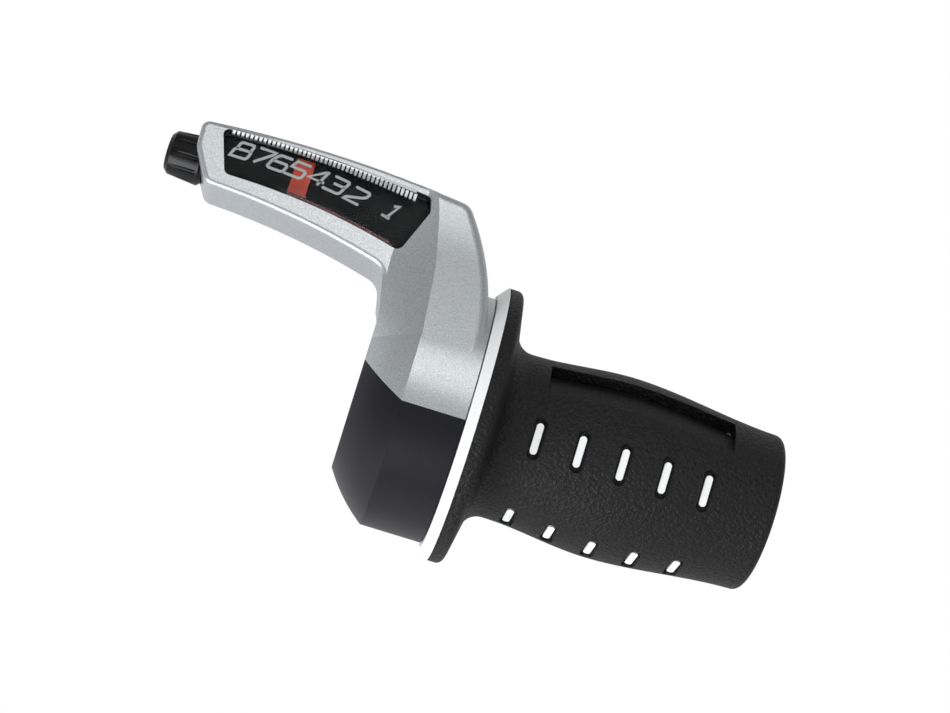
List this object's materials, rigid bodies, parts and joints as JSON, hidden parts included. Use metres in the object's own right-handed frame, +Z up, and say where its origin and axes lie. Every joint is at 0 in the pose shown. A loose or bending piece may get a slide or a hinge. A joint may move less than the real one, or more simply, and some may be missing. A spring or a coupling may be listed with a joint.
{
  "type": "twist grip shifter",
  "caption": "Twist grip gear shifter for a flat handlebar, with an L-shaped silver cover, a gear window with a sliding pointer and a slotted rubber grip.",
  "frame": {"origin": "on the handlebar's axis, in the plane where the fixed housing meets the turning grip", "axes": "+X along the handlebar towards its end, +Y forwards to the display arm, +Z up"},
  "size_m": [0.1427, 0.073, 0.0604],
  "materials": {
    "black_plastic": "satin moulded",
    "silver_cover": "silver metallic paint, fine flake",
    "clear_plastic": "clear, polished",
    "pointer_red": "satin",
    "dial_black": "matt",
    "white_plastic": "smooth moulded",
    "grip_rubber": "fine matt grain",
    "grey_plastic": "smooth moulded",
    "steel": "plated",
    "spring_steel": "bright"
  },
  "bodies": {
    "housing": {"housing": "black_plastic", "top_cover": "silver_cover", "display_lens": "clear_plastic", "dial_plate": "dial_black", "adjuster_washer": "steel", "cable_guide": "grey_plastic", "clamp_band": "steel", "clamp_screw": "steel", "clamp_nut": "steel", "cover_screw_inner": "steel", "cover_screw_outer": "steel", "cable_hatch": "grip_rubber", "end_plate": "black_plastic", "detent_spring": "spring_steel", "thrust_washer": "white_plastic"},
    "grip": {"grip_core": "white_plastic", "grip_rubber": "grip_rubber", "cable_spool": "grey_plastic", "spool_clip": "steel"},
    "indicator": {"indicator_pointer": "pointer_red"},
    "adjuster": {"barrel_adjuster": "black_plastic"}
  },
  "joints": [
    {"name": "grip_turn", "type": "hinge", "parent": "housing", "child": "grip", "pos_m": [0, 0, 0], "axis": [1, 0, 0], "range_deg": [-38.2, 66.8], "deforming": ["detent_spring"]},
    {"name": "indicator_slide", "type": "hinge", "parent": "housing", "child": "indicator", "pos_m": [-0.0587, -0.106, 0.0148], "axis": [0, 0, 1], "range_deg": [-8.6, 4.9]},
    {"name": "adjuster_turn", "type": "hinge", "parent": "housing", "child": "adjuster", "pos_m": [-0.0671, 0.0348, 0.0103], "axis": [1, 0, 0], "range_deg": [0, 1440]}
  ],
  "couplings": [
    {"joint": "indicator_slide", "follows": "grip_turn", "ratio": -0.12676}
  ]
}
